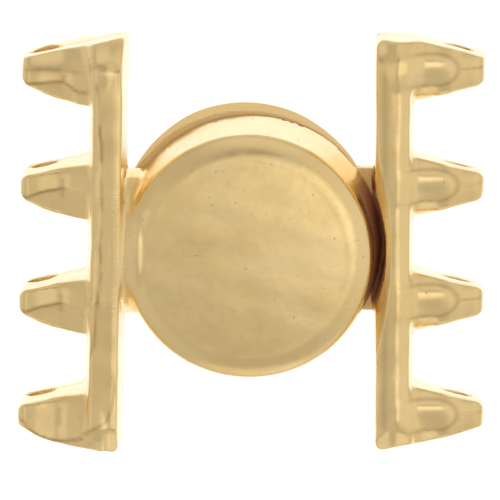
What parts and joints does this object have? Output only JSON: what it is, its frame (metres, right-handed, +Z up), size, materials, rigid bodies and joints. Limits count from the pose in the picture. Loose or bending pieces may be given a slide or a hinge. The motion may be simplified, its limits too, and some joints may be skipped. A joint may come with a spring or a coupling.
{
  "type": "magnetic clasp",
  "caption": "Fastened magnetic jewellery clasp: cast halves, each a bar with drilled lugs and a round magnet cup, that meet face to face.",
  "frame": {"origin": "under the middle of the fastened clasp, on the surface it lies on", "axes": "+X from the lugs of the upper half to the lugs of the lower half, +Y along the bars, +Z up through the cups, the way the upper half lifts off"},
  "size_m": [0.024, 0.022, 0.0072],
  "materials": {
    "gold_plate": "polished yellow gold plating over cast brass",
    "nickel_plate": "nickel plated disc magnet"
  },
  "bodies": {
    "lower_half": {"lower_casting": "gold_plate", "lower_magnet": "nickel_plate"},
    "upper_half": {"upper_casting": "gold_plate", "upper_magnet": "nickel_plate"}
  },
  "joints": [
    {"name": "pull_apart", "type": "slide", "parent": "lower_half", "child": "upper_half", "axis": [0, 0, 1], "range_m": [0, 0.008]}
  ]
}
